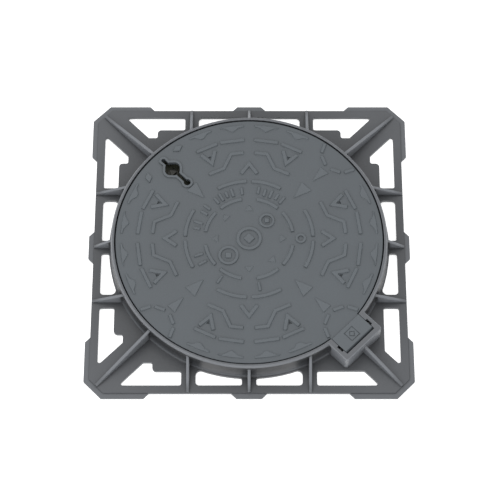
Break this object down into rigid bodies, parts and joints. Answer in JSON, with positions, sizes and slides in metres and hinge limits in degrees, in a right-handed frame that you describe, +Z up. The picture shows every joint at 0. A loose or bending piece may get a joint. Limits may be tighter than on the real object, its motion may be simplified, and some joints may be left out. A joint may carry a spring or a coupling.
{
  "type": "manhole cover",
  "caption": "Hinged round cast iron access cover in a square ribbed frame, with a lift-out hinge, a keyhole and a quarter-turn cam lock under it.",
  "frame": {"origin": "centre of the frame's underside, on the plane it is bedded on", "axes": "+Z up out of the ground; the hinge is on the +X -Y diagonal and the keyhole on the -X +Y diagonal"},
  "size_m": [0.785, 0.785, 0.06],
  "materials": {
    "frame_iron": "satin black-grey coating over as-cast ductile iron",
    "cover_iron": "satin blue-grey coating over as-cast ductile iron",
    "seat_rubber": "matt moulded elastomer",
    "pin_steel": "blackened and greased turned steel",
    "clip_steel": "blackened spring steel",
    "pocket_plastic": "moulded dark olive plastic",
    "seal_rubber": "matt elastomer",
    "bolt_steel": "zinc plated steel",
    "bush_brass": "turned brass",
    "lock_steel": "blackened steel"
  },
  "bodies": {
    "frame": {"frame_casting": "frame_iron", "seat_gasket": "seat_rubber"},
    "hinge_pin": {"hinge_pin": "pin_steel", "pin_circlips": "clip_steel"},
    "cover": {"cover_casting": "cover_iron", "key_pocket": "pocket_plastic", "pocket_gasket": "seal_rubber", "pocket_bolts": "bolt_steel", "pocket_washers": "bolt_steel", "spindle_bush": "bush_brass", "spindle_seal": "seal_rubber"},
    "lock": {"lock_spindle": "lock_steel", "lock_cam": "lock_steel", "cam_washer": "bolt_steel", "cam_nut": "bolt_steel"}
  },
  "joints": [
    {"name": "lift_out", "type": "slide", "parent": "frame", "child": "hinge_pin", "axis": [0, 0, 1], "range_m": [0, 0.12]},
    {"name": "cover_hinge", "type": "hinge", "parent": "hinge_pin", "child": "cover", "pos_m": [0.25152, -0.25152, 0.045], "axis": [0.7071, 0.7071, 0], "range_deg": [0, 100]},
    {"name": "lock_turn", "type": "hinge", "parent": "cover", "child": "lock", "pos_m": [-0.1888, 0.1888, 0.022], "axis": [0, 0, -1], "range_deg": [0, 90]}
  ]
}
